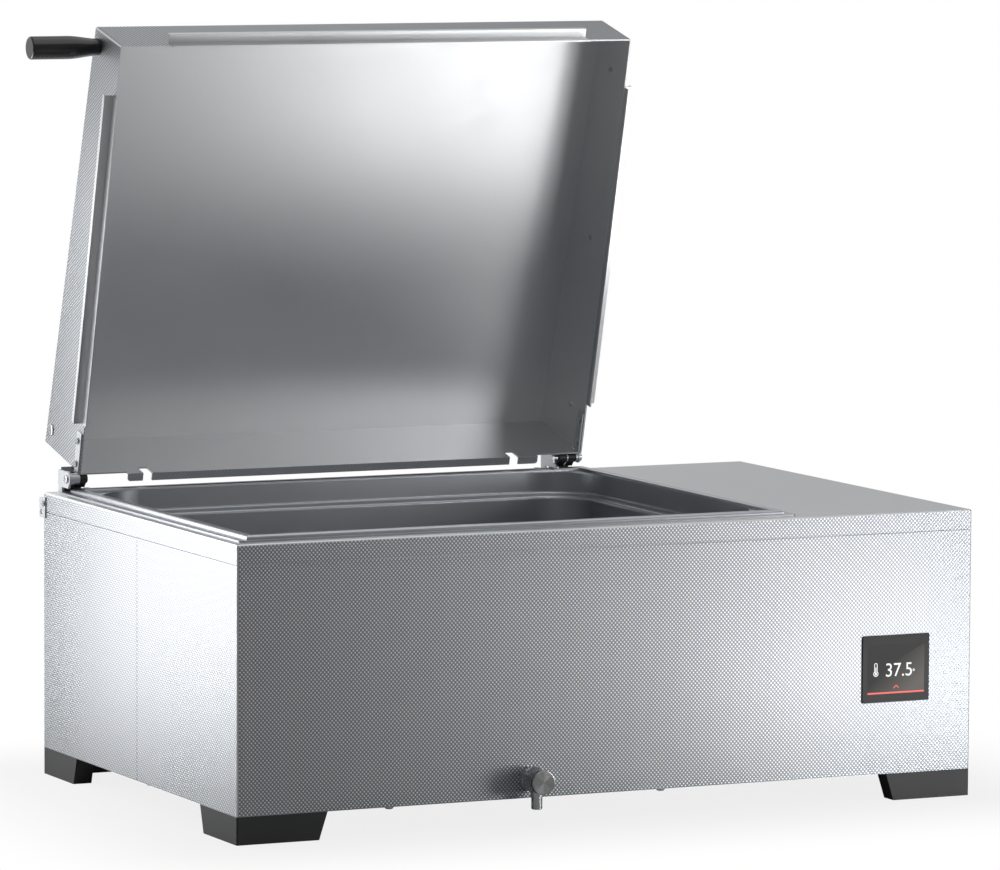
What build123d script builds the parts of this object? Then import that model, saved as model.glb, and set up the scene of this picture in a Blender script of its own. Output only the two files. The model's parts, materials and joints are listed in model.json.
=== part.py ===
"""Heated laboratory water bath: sheet-steel casing, drawn trough, hinged lid and drain valve."""
import os
from math import atan2, cos, radians, sin, tan

from build123d import *

os.makedirs("parts", exist_ok=True)

# Body, in millimetres: X to the right, Y to the rear, Z up, origin on the bench under the middle
body_width = 818
body_depth = 516
foot_height = 28
deck_height = 296
casing_sheet = 1.5
casing_corner = 2
deck_edge_radius = 1.8
skirt_depth = 20
seam_gap = 0.8
side_seam_gap = 0.6
return_flange = 14
joggle_sheet = 1
joggle_lap = 14

# Trough, drawn from one sheet, hung in the left part of the deck
trough_x = -92
opening_width = 573
opening_depth = 446
opening_radius = 62
trough_sheet = 1.5
bead_width = 10
bead_height = 4
bead_round = 3.4
rim_side = 20.5
rim_front = 19
ledge_drop = 27
ledge_width = 14
ledge_round = 3
ledge_edge_round = 4
trough_floor_z = 80
floor_radius = 30
rim_corner = 6
deck_opening_gap = 6.5
deck_opening_corner = 12

# Lid, described in its closed place and turned open about the hinge line when it is saved
lid_width = 580
lid_depth = 464
lid_front_height = 71.5
lid_rear_height = 103
lid_sheet = 1.5
lid_bend_radius = 2
lid_seat_gap = 0.3
rail_leg = 6.7
rail_rise = 5
rail_sheet = 1.4
rail_flange = 10.5
rail_lip = 5
side_rail_length = 355
side_rail_setback = 55
front_rail_left = 55
front_rail_right = 52
lip_drop = 4.6
lip_flange = 7
lip_left = 52
lip_right = 55
lip_corner = 3
notch_width = 10
notch_height = 17
notch_left = 74
notch_right = 83
corner_groove_width = 0.6
corner_groove_depth = 0.7
corner_groove_inset = 2.2
open_angle = 75.8

# Hinges
hinge_behind_lid = 5.2
hinge_above_rim = 3.3
pin_radius = 2.5
pin_clearance = 0.05
pin_head_radius = 4.5
pin_head_height = 2.4
knuckle_radius = 6
knuckle_gap = 0.4
bracket_sheet = 2
ear_sheet = 2.5
ear_radius = 8
gusset_reach = 10
gusset_edge = 1.6
block_nose_radius = 4.6
block_width = 19.5
block_overhang = 8.5
block_web = 1.2
arm_sheet = 2
arm_length = 50
arm_height = 13
arm_screw_radius = 2
arm_screw_head = 3.6

# Handle on the left wall of the lid
handle_length = 74.5
handle_radius = 12
handle_neck_radius = 9
handle_barrel = 40
handle_end_round = 2
handle_collar_radius = 8
handle_collar_width = 1.5
handle_setback = 18
handle_height = 58
handle_stud_radius = 3

# Drain valve under the middle of the trough
valve_height = 47.5
valve_collar_radius = 12.5
valve_collar_length = 9
valve_flats = 24
valve_body_length = 15
valve_spigot_radius = 8
valve_bore_radius = 4
valve_plug_radius = 5.95
valve_stem_radius = 3
valve_knob_radius = 12.1
valve_knob_length = 8
valve_knob_gap = 1
valve_spigot_tail = 24
spout_radius = 5.5
spout_reach = 16.5
spout_boss = 1
spout_boss_drop = 3
spout_end_z = 19
outlet_y = -150
hose_wall = 3
hose_bend = 18

# Display on the front face, and the compartment behind it
display_width = 77.7
display_height = 69
display_x = 321.35
display_z = 136.5
display_corner = 1.5
display_thickness = 1.5
display_overlap = 3
housing_depth = 16
housing_flange = 5
housing_sheet = 2.5
housing_corner = 3
housing_flange_sheet = 3
board_sheet = 1.6
chip_side = 14
chip_height = 4
compartment_gap = 10

# Feet and fasteners
foot_leg = 20
foot_length_x = 97
foot_length_y = 93
foot_taper = 9
screw_radius = 2.5
screw_head_radius = 4.5
screw_head_height = 3
screw_hole_gap = 0.3
foot_screw_inset = 60
base_screw_pitch = 300
clip_screw_radius = 1.5
clip_screw_inset = 5
clip_screw_rise = 8.5

# Places worked out from the driving sizes
half_width = body_width / 2
half_depth = body_depth / 2
seam_z = deck_height - skirt_depth - seam_gap
plate_top = foot_height + 2 * casing_sheet
rim_top = deck_height + trough_sheet
bead_top = rim_top + bead_height
ledge_z = bead_top - ledge_drop
tank_width = opening_width - 2 * ledge_width
tank_depth = opening_depth - 2 * ledge_width
tank_radius = opening_radius - ledge_width
rim_width = opening_width + 2 * rim_side
rim_depth = opening_depth + 2 * rim_front
rim_rear_y = rim_depth / 2
rear_bead_y = opening_depth / 2
lid_left = trough_x - lid_width / 2
lid_right = trough_x + lid_width / 2
lid_rim_z = bead_top + lid_seat_gap + rail_leg
lid_rear_y = rear_bead_y - 0.2
lid_front_y = lid_rear_y - lid_depth
lid_slope = (lid_rear_height - lid_front_height) / lid_depth
hinge_y = lid_rear_y + hinge_behind_lid
hinge_z = lid_rim_z + hinge_above_rim
hinge_line = Axis((0, hinge_y, hinge_z), (1, 0, 0))
valve_x = trough_x
front_y = -half_depth
UP = (Align.CENTER, Align.CENTER, Align.MIN)
DOWN = (Align.CENTER, Align.CENTER, Align.MAX)

foot_screw_points = []
for side_x in (-1, 1):
    for side_y in (-1, 1):
        leg_x = side_x * (half_width - foot_leg / 2)
        leg_y = side_y * (half_depth - foot_leg / 2)
        foot_screw_points.append((side_x * (half_width - foot_screw_inset), leg_y))
        foot_screw_points.append((leg_x, side_y * (half_depth - foot_screw_inset)))

base_screw_inset = casing_sheet + return_flange / 2
base_screw_points = []
for side_y in (-1, 1):
    for offset_x in (-base_screw_pitch / 2, base_screw_pitch / 2):
        base_screw_points.append((trough_x + offset_x, side_y * (half_depth - base_screw_inset)))
for side_x in (-1, 1):
    base_screw_points.append((side_x * (half_width - base_screw_inset), -base_screw_inset * 2))

clip_screw_y = half_depth - clip_screw_inset
clip_screw_z = deck_height - skirt_depth + clip_screw_rise


def at_height(points, z):
    """The points of a plan pattern, lifted to one height."""
    return [(x, y, z) for x, y in points]


# Casing: a folded ring that is split into a front and a rear half
inlet_x = half_width - 70
inlet_z = foot_height + 46
switch_z = inlet_z + 42
inlet_cutout = (27.6, 20.4)
switch_cutout = (20, 22)
vent_slot = (60, 4)
vent_pitch = 12
vent_rows = 6
vent_z = switch_z + 85


def casing_ring():
    """Casing wall with its return flange below and its joggled strip inside the skirt of the deck."""
    inner = 2 * casing_sheet
    with BuildPart() as ring:
        with BuildSketch(Plane.XY.offset(foot_height)):
            RectangleRounded(body_width, body_depth, casing_corner)
            Rectangle(body_width - inner, body_depth - inner, mode=Mode.SUBTRACT)
        extrude(amount=seam_z - foot_height)
        with BuildSketch(Plane.XY.offset(foot_height)):
            RectangleRounded(body_width, body_depth, casing_corner)
            Rectangle(
                body_width - inner - 2 * return_flange,
                body_depth - inner - 2 * return_flange,
                mode=Mode.SUBTRACT,
            )
        extrude(amount=casing_sheet)
        with BuildSketch(Plane.XY.offset(seam_z - joggle_lap)):
            Rectangle(body_width - inner, body_depth - inner)
            Rectangle(
                body_width - inner - 2 * joggle_sheet,
                body_depth - inner - 2 * joggle_sheet,
                mode=Mode.SUBTRACT,
            )
        extrude(amount=2 * joggle_lap)
        with Locations(*at_height(foot_screw_points + base_screw_points, foot_height)):
            Cylinder(screw_radius + screw_hole_gap, 2 * casing_sheet, mode=Mode.SUBTRACT)
    return ring.part


with BuildPart() as front_casing:
    add(casing_ring())
    split(bisect_by=Plane.XZ.offset(side_seam_gap / 2), keep=Keep.TOP)
    with BuildSketch(Plane.XZ.offset(half_depth)):
        with Locations((valve_x, valve_height)):
            Circle(valve_spigot_radius + screw_hole_gap)
        with Locations((display_x, display_z)):
            Rectangle(display_width - 2 * display_overlap, display_height - 2 * display_overlap)
    extrude(amount=-2 * casing_sheet, mode=Mode.SUBTRACT)

with BuildPart() as rear_casing:
    add(casing_ring())
    split(bisect_by=Plane.XZ.offset(-side_seam_gap / 2), keep=Keep.BOTTOM)
    with BuildSketch(Plane.XZ.offset(-half_depth)):
        with Locations((inlet_x, inlet_z)):
            Rectangle(*inlet_cutout)
        with Locations((inlet_x, switch_z)):
            Rectangle(*switch_cutout)
        with Locations((inlet_x, vent_z)):
            with GridLocations(vent_slot[0], vent_pitch, 1, vent_rows):
                SlotOverall(vent_slot[0], vent_slot[1])
    extrude(amount=2 * casing_sheet, mode=Mode.SUBTRACT)
    with BuildSketch(Plane.YZ):
        with Locations((clip_screw_y, clip_screw_z)):
            Circle(clip_screw_radius + pin_clearance)
    extrude(amount=half_width, both=True, mode=Mode.SUBTRACT)

with BuildPart() as base_plate:
    with BuildSketch(Plane.XY.offset(foot_height + casing_sheet)):
        Rectangle(body_width - 2 * casing_sheet - seam_gap, body_depth - 2 * casing_sheet - seam_gap)
        with Locations((inlet_x - 30, 0)):
            with GridLocations(vent_slot[0], vent_pitch, 1, vent_rows):
                SlotOverall(vent_slot[0], vent_slot[1], mode=Mode.SUBTRACT)
    extrude(amount=casing_sheet)
    with Locations(*at_height(foot_screw_points + base_screw_points, plate_top)):
        Cylinder(screw_radius + screw_hole_gap, 3 * casing_sheet, mode=Mode.SUBTRACT)

# Top deck: a pan with its skirt turned down, and the opening that the trough hangs in
with BuildPart() as top_deck:
    with BuildSketch(Plane.XY.offset(deck_height - skirt_depth)):
        RectangleRounded(body_width, body_depth, casing_corner)
    extrude(amount=skirt_depth)
    fillet(top_deck.faces().sort_by(Axis.Z)[-1].edges(), deck_edge_radius)
    with BuildSketch(Plane.XY.offset(deck_height - skirt_depth)):
        Rectangle(body_width - 2 * casing_sheet, body_depth - 2 * casing_sheet)
    extrude(amount=skirt_depth - casing_sheet, mode=Mode.SUBTRACT)
    with BuildSketch(Plane.XY.offset(deck_height)):
        with Locations((trough_x, 0)):
            RectangleRounded(
                opening_width + 2 * (trough_sheet + deck_opening_gap),
                opening_depth + 2 * (trough_sheet + deck_opening_gap),
                deck_opening_corner,
            )
    extrude(amount=-casing_sheet, mode=Mode.SUBTRACT)
    with BuildSketch(Plane.YZ):
        with Locations((clip_screw_y, clip_screw_z)):
            Circle(clip_screw_radius + pin_clearance)
    extrude(amount=half_width, both=True, mode=Mode.SUBTRACT)


# Trough: the inner hollow and the outer skin are the same form, one sheet apart
def tank_form(wall, top):
    """Stepped form of the trough with its faces moved out by the wall."""
    step_z = ledge_z - wall
    with BuildPart() as form:
        with BuildSketch(Plane.XY.offset(step_z)):
            with Locations((trough_x, 0)):
                RectangleRounded(
                    opening_width + 2 * wall, opening_depth + 2 * wall, opening_radius + wall
                )
        extrude(amount=top - step_z)
        fillet(form.edges().group_by(Axis.Z)[0], ledge_round + wall)
        with BuildSketch(Plane.XY.offset(trough_floor_z - wall)):
            with Locations((trough_x, 0)):
                RectangleRounded(tank_width + 2 * wall, tank_depth + 2 * wall, tank_radius + wall)
        extrude(amount=ledge_z - trough_floor_z)
        fillet(form.edges().group_by(Axis.Z)[0], floor_radius + wall)
        reach = tank_width / 2 + wall + ledge_round / 2
        breadth = tank_depth / 2 + wall + ledge_round / 2
        step_edges = [
            edge
            for edge in form.edges()
            if abs(edge.bounding_box().min.Z - step_z) < 0.01
            and abs(edge.bounding_box().max.Z - step_z) < 0.01
            and max(abs(v.X - trough_x) for v in edge.vertices()) < reach
            and max(abs(v.Y) for v in edge.vertices()) < breadth
        ]
        fillet(step_edges, ledge_edge_round - wall)
    return form.part


hollow = tank_form(0, rim_top)
skin = tank_form(trough_sheet, rim_top)

with BuildPart() as trough:
    with BuildSketch(Plane.XY.offset(deck_height)):
        with Locations((trough_x, 0)):
            RectangleRounded(rim_width, rim_depth, rim_corner)
    extrude(amount=trough_sheet)
    with BuildSketch(Plane.XY.offset(rim_top)):
        with Locations((trough_x, 0)):
            Rectangle(opening_width + 2 * bead_width, opening_depth + 2 * bead_width)
            Rectangle(opening_width, opening_depth, mode=Mode.SUBTRACT)
    extrude(amount=bead_height)
    fillet(trough.faces().sort_by(Axis.Z)[-1].edges(), bead_round)
    with BuildSketch(Plane.XY.offset(deck_height)):
        with Locations((trough_x, 0)):
            Rectangle(
                opening_width + 2 * (bead_width - trough_sheet),
                opening_depth + 2 * (bead_width - trough_sheet),
            )
            Rectangle(
                opening_width + 2 * trough_sheet, opening_depth + 2 * trough_sheet, mode=Mode.SUBTRACT
            )
    extrude(amount=bead_height, mode=Mode.SUBTRACT)
    add(skin)
    add(hollow, mode=Mode.SUBTRACT)
    with Locations((trough_x, outlet_y, trough_floor_z)):
        Cylinder(valve_spigot_radius - trough_sheet, 4 * trough_sheet, mode=Mode.SUBTRACT)

# Feet: an angle of two legs whose inner ends slope in towards the bench


def corner_foot(side_x, side_y):
    """One corner foot with its two counterbored screw holes."""
    corner_x = side_x * half_width
    corner_y = side_y * half_depth
    with BuildPart() as foot:
        with BuildSketch(Plane.XZ.offset(-corner_y)):
            with BuildLine():
                Polyline(
                    (corner_x, 0),
                    (corner_x, foot_height),
                    (corner_x - side_x * foot_length_x, foot_height),
                    (corner_x - side_x * (foot_length_x - foot_taper), 0),
                    close=True,
                )
            make_face()
        extrude(amount=side_y * foot_leg)
        with BuildSketch(Plane.YZ.offset(corner_x)):
            with BuildLine():
                Polyline(
                    (corner_y, 0),
                    (corner_y, foot_height),
                    (corner_y - side_y * foot_length_y, foot_height),
                    (corner_y - side_y * (foot_length_y - foot_taper), 0),
                    close=True,
                )
            make_face()
        extrude(amount=-side_x * foot_leg)
        outer_edges = [
            edge
            for edge in foot.edges().filter_by(Axis.Z)
            if abs(edge.center().X - corner_x) < 0.01 and abs(edge.center().Y - corner_y) < 0.01
        ]
        fillet(outer_edges, casing_corner)
        own_points = [(x, y) for x, y in foot_screw_points if x * side_x > 0 and y * side_y > 0]
        with Locations(*at_height(own_points, 0)):
            Cylinder(screw_head_radius + 1, foot_height / 2, align=UP, mode=Mode.SUBTRACT)
            Cylinder(screw_radius + screw_hole_gap, foot_height, align=UP, mode=Mode.SUBTRACT)
    return foot


foot_front_left = corner_foot(-1, -1)
foot_front_right = corner_foot(1, -1)
foot_rear_left = corner_foot(-1, 1)
foot_rear_right = corner_foot(1, 1)

with BuildPart() as foot_screws:
    with Locations(*at_height(foot_screw_points, foot_height / 2)):
        Cylinder(screw_head_radius, screw_head_height, align=DOWN)
        Cylinder(screw_radius, foot_height / 2 + 2 * casing_sheet + 2, align=UP)

with BuildPart() as base_screws:
    with Locations(*at_height(base_screw_points, foot_height)):
        Cylinder(screw_head_radius, screw_head_height, align=DOWN)
        Cylinder(screw_radius, 2 * casing_sheet + 2, align=UP)
    fillet(base_screws.edges().group_by(Axis.Z)[0], screw_head_height * 0.7)

# Hinges: each has a bracket on the deck, a ribbed friction block, a pin and an arm on the lid
deck_plate_top = deck_height + bracket_sheet
bracket_front_y = rim_rear_y + 0.3
bracket_rear_y = bracket_front_y + block_overhang + 2
block_rear_y = bracket_front_y + block_overhang
stop_slope = radians(90 - open_angle)
bead_clear_z = bead_top + 0.6
left_block_inner_x = lid_left + 9
left_block_split_x = lid_left + 0.3
left_knuckle_outer_x = lid_left - arm_sheet - 7.6
left_ear_inner_x = left_knuckle_outer_x - knuckle_gap
right_arm_outer_x = lid_right - lid_sheet
right_knuckle_inner_x = right_arm_outer_x - arm_sheet - 2.6
right_block_outer_x = right_knuckle_inner_x - knuckle_gap
right_block_inner_x = right_block_outer_x - block_width
right_ear_inner_x = right_block_inner_x - block_overhang
rib_count = 3
rib_depth = 1.2


def block_outline(front_cut=None):
    """Side view of a hinge block: nose about the pin, top parallel to the opened rear wall."""
    nose_top = (
        hinge_y - block_nose_radius * sin(stop_slope),
        hinge_z + block_nose_radius * cos(stop_slope),
    )
    nose_front = (hinge_y - block_nose_radius, hinge_z)
    nose_bottom = (hinge_y, hinge_z - block_nose_radius)
    rear_top_z = nose_top[1] + (block_rear_y - nose_top[0]) * tan(stop_slope)
    with BuildSketch() as outline:
        with BuildLine():
            Polyline(
                nose_top,
                (block_rear_y, rear_top_z),
                (block_rear_y, deck_plate_top),
                (bracket_front_y, deck_plate_top),
                (bracket_front_y, bead_clear_z),
                (rear_bead_y + bead_width, bead_clear_z),
                nose_bottom,
            )
            ThreePointArc(nose_bottom, nose_front, nose_top)
        make_face()
        for rib in range(rib_count):
            share = (rib + 1) / (rib_count + 1)
            rib_y = hinge_y + share * (rear_bead_y + bead_width - hinge_y)
            rib_z = nose_bottom[1] + share * (bead_clear_z - nose_bottom[1])
            with Locations((rib_y, rib_z)):
                Rectangle(rib_depth, rib_depth, rotation=45, mode=Mode.SUBTRACT)
        if front_cut is not None:
            with Locations((front_cut, hinge_z)):
                Rectangle(
                    4 * ear_radius, 8 * ear_radius, align=(Align.MAX, Align.CENTER), mode=Mode.SUBTRACT
                )
    return outline.sketch


def ear_outline(radius, front_points):
    """Side view of a bracket ear: round about the pin, spread towards its foot on the deck."""
    with BuildSketch() as outline:
        with Locations((hinge_y, hinge_z)):
            Circle(radius)
        with BuildLine():
            Polyline(
                (hinge_y - radius * sin(stop_slope), hinge_z + radius * cos(stop_slope)),
                (bracket_rear_y, hinge_z + radius * cos(stop_slope)),
                (bracket_rear_y, deck_plate_top),
                (bracket_front_y, deck_plate_top),
                (bracket_front_y, bead_clear_z),
                *front_points,
                (hinge_y - radius, hinge_z),
                close=True,
            )
        make_face()
        with Locations((hinge_y, hinge_z)):
            Circle(pin_radius + pin_clearance, mode=Mode.SUBTRACT)
    return outline.sketch


def arm_outline():
    """Side view of a hinge arm: a strip on the side wall that ends in the eye of the pin."""
    strip_z = lid_rim_z + hinge_above_rim - knuckle_radius + 2.5
    with BuildSketch() as outline:
        with BuildLine():
            Polyline(
                (hinge_y - arm_length, strip_z + 1.5),
                (hinge_y - arm_length, strip_z + arm_height),
                (hinge_y - 2 * knuckle_radius, strip_z + arm_height),
                (hinge_y + knuckle_radius * 0.5, hinge_z + knuckle_radius * 0.86),
                (hinge_y, hinge_z),
                (hinge_y - knuckle_radius * 0.86, strip_z + 1.5),
                close=True,
            )
        make_face()
        with Locations((hinge_y, hinge_z)):
            Circle(knuckle_radius)
            Circle(pin_radius + pin_clearance, mode=Mode.SUBTRACT)
        with Locations(*arm_screw_points):
            Circle(arm_screw_radius + pin_clearance, mode=Mode.SUBTRACT)
    return outline.sketch


arm_screw_points = [(hinge_y - 15, lid_rim_z + 8), (hinge_y - 40, lid_rim_z + 8)]

with BuildPart() as hinge_bracket_left:
    with BuildSketch(Plane.XY.offset(deck_height)):
        with Locations((left_ear_inner_x - ear_sheet, bracket_front_y)):
            Rectangle(
                left_block_inner_x - left_ear_inner_x + ear_sheet + 16,
                bracket_rear_y - bracket_front_y,
                align=(Align.MIN, Align.MIN),
            )
    extrude(amount=bracket_sheet)
    with BuildSketch(Plane.YZ.offset(left_ear_inner_x - ear_sheet)):
        add(ear_outline(ear_radius, [(hinge_y - pin_radius, bead_clear_z)]))
    extrude(amount=ear_sheet)
    with Locations((left_block_inner_x + 8, (bracket_front_y + bracket_rear_y) / 2, deck_plate_top)):
        Cylinder(arm_screw_radius + screw_hole_gap, 3 * bracket_sheet, mode=Mode.SUBTRACT)

with BuildPart() as hinge_block_left:
    with BuildSketch(Plane.YZ.offset(left_block_split_x)):
        add(block_outline())
    extrude(amount=left_block_inner_x - left_block_split_x)
    with BuildSketch(Plane.YZ.offset(left_ear_inner_x)):
        add(block_outline(hinge_y + knuckle_radius + 1))
    extrude(amount=left_block_split_x - left_ear_inner_x)
    with BuildSketch(Plane.YZ.offset(left_block_split_x)):
        with Locations((hinge_y, hinge_z)):
            Circle(pin_radius + pin_clearance)
    extrude(amount=left_block_inner_x - left_block_split_x, mode=Mode.SUBTRACT)

with BuildPart() as hinge_pin_left:
    with BuildSketch(Plane.YZ.offset(left_ear_inner_x - ear_sheet)):
        with Locations((hinge_y, hinge_z)):
            Circle(pin_radius)
    extrude(amount=left_block_inner_x - left_ear_inner_x + ear_sheet)
    with BuildSketch(Plane.YZ.offset(left_ear_inner_x - ear_sheet)):
        with Locations((hinge_y, hinge_z)):
            Circle(pin_head_radius)
    extrude(amount=-pin_head_height)
    fillet(hinge_pin_left.edges().group_by(Axis.X)[0], pin_head_height * 0.45)

gusset_points = [
    (rear_bead_y - gusset_reach, bead_clear_z),
    (rear_bead_y - gusset_reach, bead_clear_z + gusset_edge),
    (hinge_y - block_nose_radius, lid_rim_z - gusset_edge),
]
with BuildPart() as hinge_bracket_right:
    with BuildSketch(Plane.XY.offset(deck_height)):
        with Locations((right_ear_inner_x - 14, bracket_front_y)):
            Rectangle(
                right_block_outer_x - right_ear_inner_x + 14,
                bracket_rear_y - bracket_front_y,
                align=(Align.MIN, Align.MIN),
            )
    extrude(amount=bracket_sheet)
    with BuildSketch(Plane.YZ.offset(right_ear_inner_x)):
        add(ear_outline(block_nose_radius, gusset_points))
    extrude(amount=ear_sheet)
    web_x = (right_block_inner_x + right_block_outer_x - block_web) / 2
    with BuildSketch(Plane.YZ.offset(web_x)):
        add(block_outline())
    extrude(amount=block_web)
    with BuildSketch(Plane.YZ.offset(web_x)):
        with Locations((hinge_y, hinge_z)):
            Circle(pin_radius + pin_clearance)
    extrude(amount=block_web, mode=Mode.SUBTRACT)
    with Locations((right_ear_inner_x - 7, (bracket_front_y + bracket_rear_y) / 2, deck_plate_top)):
        Cylinder(arm_screw_radius + screw_hole_gap, 3 * bracket_sheet, mode=Mode.SUBTRACT)

with BuildPart() as hinge_block_right:
    with BuildSketch(Plane.YZ.offset(right_block_inner_x)):
        add(block_outline())
    extrude(amount=web_x - right_block_inner_x)
    with BuildSketch(Plane.YZ.offset(web_x + block_web)):
        add(block_outline())
    extrude(amount=right_block_outer_x - web_x - block_web)
    with BuildSketch(Plane.YZ.offset(right_block_inner_x)):
        with Locations((hinge_y, hinge_z)):
            Circle(pin_radius + pin_clearance)
    extrude(amount=block_width, mode=Mode.SUBTRACT)

with BuildPart() as hinge_pin_right:
    with BuildSketch(Plane.YZ.offset(right_ear_inner_x)):
        with Locations((hinge_y, hinge_z)):
            Circle(pin_radius)
    extrude(amount=right_arm_outer_x + knuckle_gap - right_ear_inner_x)
    with BuildSketch(Plane.YZ.offset(right_arm_outer_x + knuckle_gap)):
        with Locations((hinge_y, hinge_z)):
            Circle(pin_head_radius)
    extrude(amount=pin_head_height)
    fillet(hinge_pin_right.edges().group_by(Axis.X)[-1], pin_head_height * 0.45)

bracket_screw_points = [
    (left_block_inner_x + 8, (bracket_front_y + bracket_rear_y) / 2, deck_plate_top),
    (right_ear_inner_x - 7, (bracket_front_y + bracket_rear_y) / 2, deck_plate_top),
]
with BuildPart() as hinge_bracket_screws:
    with Locations(*bracket_screw_points):
        Cylinder(arm_screw_head, arm_screw_radius, align=UP)
        Cylinder(arm_screw_radius, bracket_sheet, align=DOWN)
    fillet(hinge_bracket_screws.edges().group_by(Axis.Z)[-1], arm_screw_radius / 2)

# Lid: one folded sheet, seen from the side as a tray that is deeper at the rear


def lid_outline(inset, below):
    """Side view of the lid, its front, top and rear moved in by the inset."""
    top_inset = inset / cos(atan2(lid_rear_height - lid_front_height, lid_depth))
    front = lid_front_y + inset
    rear = lid_rear_y - inset
    with BuildSketch() as outline:
        with BuildLine():
            Polyline(
                (front, lid_rim_z - below),
                (front, lid_rim_z + lid_front_height + lid_slope * inset - top_inset),
                (rear, lid_rim_z + lid_rear_height - lid_slope * inset - top_inset),
                (rear, lid_rim_z - below),
                close=True,
            )
        make_face()
    return outline.sketch


handle_y = lid_front_y + handle_setback
handle_z = lid_rim_z + handle_height
plug_y = lid_rear_y - 19
plug_z = lid_rim_z + 87
plug_radius = 6.5
plug_shank_radius = 4.8
rivet_setbacks = (44, 233, 420)
rivet_height = 35
rivet_radius = 3
rivet_shank_radius = 2.2
rivet_points = [(lid_rear_y - setback, lid_rim_z + rivet_height) for setback in rivet_setbacks]

with BuildPart() as lid_shell:
    with BuildSketch(Plane.YZ.offset(lid_left)):
        add(lid_outline(0, 0))
    extrude(amount=lid_width)
    rim_edges = lid_shell.faces().sort_by(Axis.Z)[0].edges()
    fillet(lid_shell.edges() - rim_edges, lid_bend_radius)
    with BuildSketch(Plane.YZ.offset(lid_left + lid_sheet)):
        add(lid_outline(lid_sheet, 1))
    extrude(amount=lid_width - 2 * lid_sheet, mode=Mode.SUBTRACT)
    # Rear wall runs on below the rim and ends in a flange to the rear
    lip_start_x = lid_left + lip_left
    lip_length = lid_width - lip_left - lip_right
    with BuildSketch(Plane.YZ.offset(lip_start_x)):
        with BuildLine():
            Polyline(
                (lid_rear_y - lid_sheet, lid_rim_z),
                (lid_rear_y, lid_rim_z),
                (lid_rear_y, lid_rim_z - lip_drop),
                (lid_rear_y + lip_flange, lid_rim_z - lip_drop),
                (lid_rear_y + lip_flange, lid_rim_z - lip_drop - lid_sheet),
                (lid_rear_y - lid_sheet, lid_rim_z - lip_drop - lid_sheet),
                close=True,
            )
        make_face()
    extrude(amount=lip_length)
    flange_corners = lid_shell.edges().filter_by(Axis.Z).group_by(Axis.Y)[-1]
    fillet(flange_corners, lip_corner)
    notch_low = lid_rim_z - lip_drop - lid_sheet
    with BuildSketch(Plane.XZ.offset(-lid_rear_y - lip_flange)):
        for notch_x in (lid_left + notch_left, lid_right - notch_right):
            with Locations((notch_x, notch_low)):
                Rectangle(notch_width, 2 * notch_height, mode=Mode.ADD)
    extrude(amount=lip_flange + lid_sheet, mode=Mode.SUBTRACT)
    # Slot in the rear wall that the right hinge arm passes through
    with BuildSketch(Plane.XZ.offset(-lid_rear_y)):
        with Locations((lid_right - lid_sheet, lid_rim_z)):
            Rectangle(arm_sheet + 0.5, 2 * (arm_height + 3), align=(Align.MAX, Align.CENTER))
    extrude(amount=lid_sheet, mode=Mode.SUBTRACT)
    # Grooves where the front wall is folded round beside the side walls
    with BuildSketch(Plane.XZ.offset(-lid_front_y)):
        for groove_x in (lid_left + corner_groove_inset, lid_right - corner_groove_inset):
            with Locations((groove_x, lid_rim_z)):
                Rectangle(corner_groove_width, 2 * (lid_front_height - 2 * lid_bend_radius))
    extrude(amount=-corner_groove_depth, mode=Mode.SUBTRACT)
    # Holes in the left wall, then in the right wall
    with BuildSketch(Plane.YZ.offset(lid_left)):
        with Locations(*arm_screw_points):
            Circle(arm_screw_radius + pin_clearance)
        with Locations((handle_y, handle_z)):
            Circle(handle_stud_radius + pin_clearance)
        with Locations((plug_y, plug_z)):
            Circle(plug_shank_radius + pin_clearance)
    extrude(amount=lid_sheet, mode=Mode.SUBTRACT)
    with BuildSketch(Plane.YZ.offset(lid_right)):
        with Locations(*arm_screw_points):
            Circle(arm_screw_radius + pin_clearance)
        with Locations(*rivet_points):
            Circle(rivet_shank_radius + pin_clearance)
    extrude(amount=-lid_sheet, mode=Mode.SUBTRACT)


def rail(start, outward, run, length):
    """One rail: a leg on the wall below the rim, a flange outwards and a lip turned up."""
    with BuildPart() as strip:
        with BuildSketch(Plane(origin=start, x_dir=outward, z_dir=run)):
            with BuildLine():
                Polyline(
                    (0, -rail_leg),
                    (rail_sheet, -rail_leg),
                    (rail_sheet, rail_rise),
                    (rail_flange, rail_rise),
                    (rail_flange, rail_rise + rail_lip),
                    (rail_flange - rail_sheet, rail_rise + rail_lip),
                    (rail_flange - rail_sheet, rail_rise + rail_sheet),
                    (0, rail_rise + rail_sheet),
                    close=True,
                )
            make_face()
        extrude(amount=length)
        fillet(strip.edges().filter_by(Axis.Z).sort_by(Axis(start, outward))[-2:], rail_sheet * 0.6)
    return strip


side_rail_rear_y = lid_rear_y - side_rail_setback
lid_rail_left = rail(
    (lid_left, side_rail_rear_y - side_rail_length, lid_rim_z), (-1, 0, 0), (0, 1, 0), side_rail_length
)
lid_rail_right = rail((lid_right, side_rail_rear_y, lid_rim_z), (1, 0, 0), (0, -1, 0), side_rail_length)
lid_rail_front = rail(
    (lid_right - front_rail_right, lid_front_y, lid_rim_z),
    (0, -1, 0),
    (-1, 0, 0),
    lid_width - front_rail_left - front_rail_right,
)

with BuildPart() as hinge_arm_left:
    with BuildSketch(Plane.YZ.offset(lid_left)):
        add(arm_outline())
    extrude(amount=-arm_sheet)
    with BuildSketch(Plane.YZ.offset(left_knuckle_outer_x)):
        with Locations((hinge_y, hinge_z)):
            Circle(knuckle_radius)
            Circle(pin_radius + pin_clearance, mode=Mode.SUBTRACT)
    extrude(amount=lid_left - arm_sheet - left_knuckle_outer_x)

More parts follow.
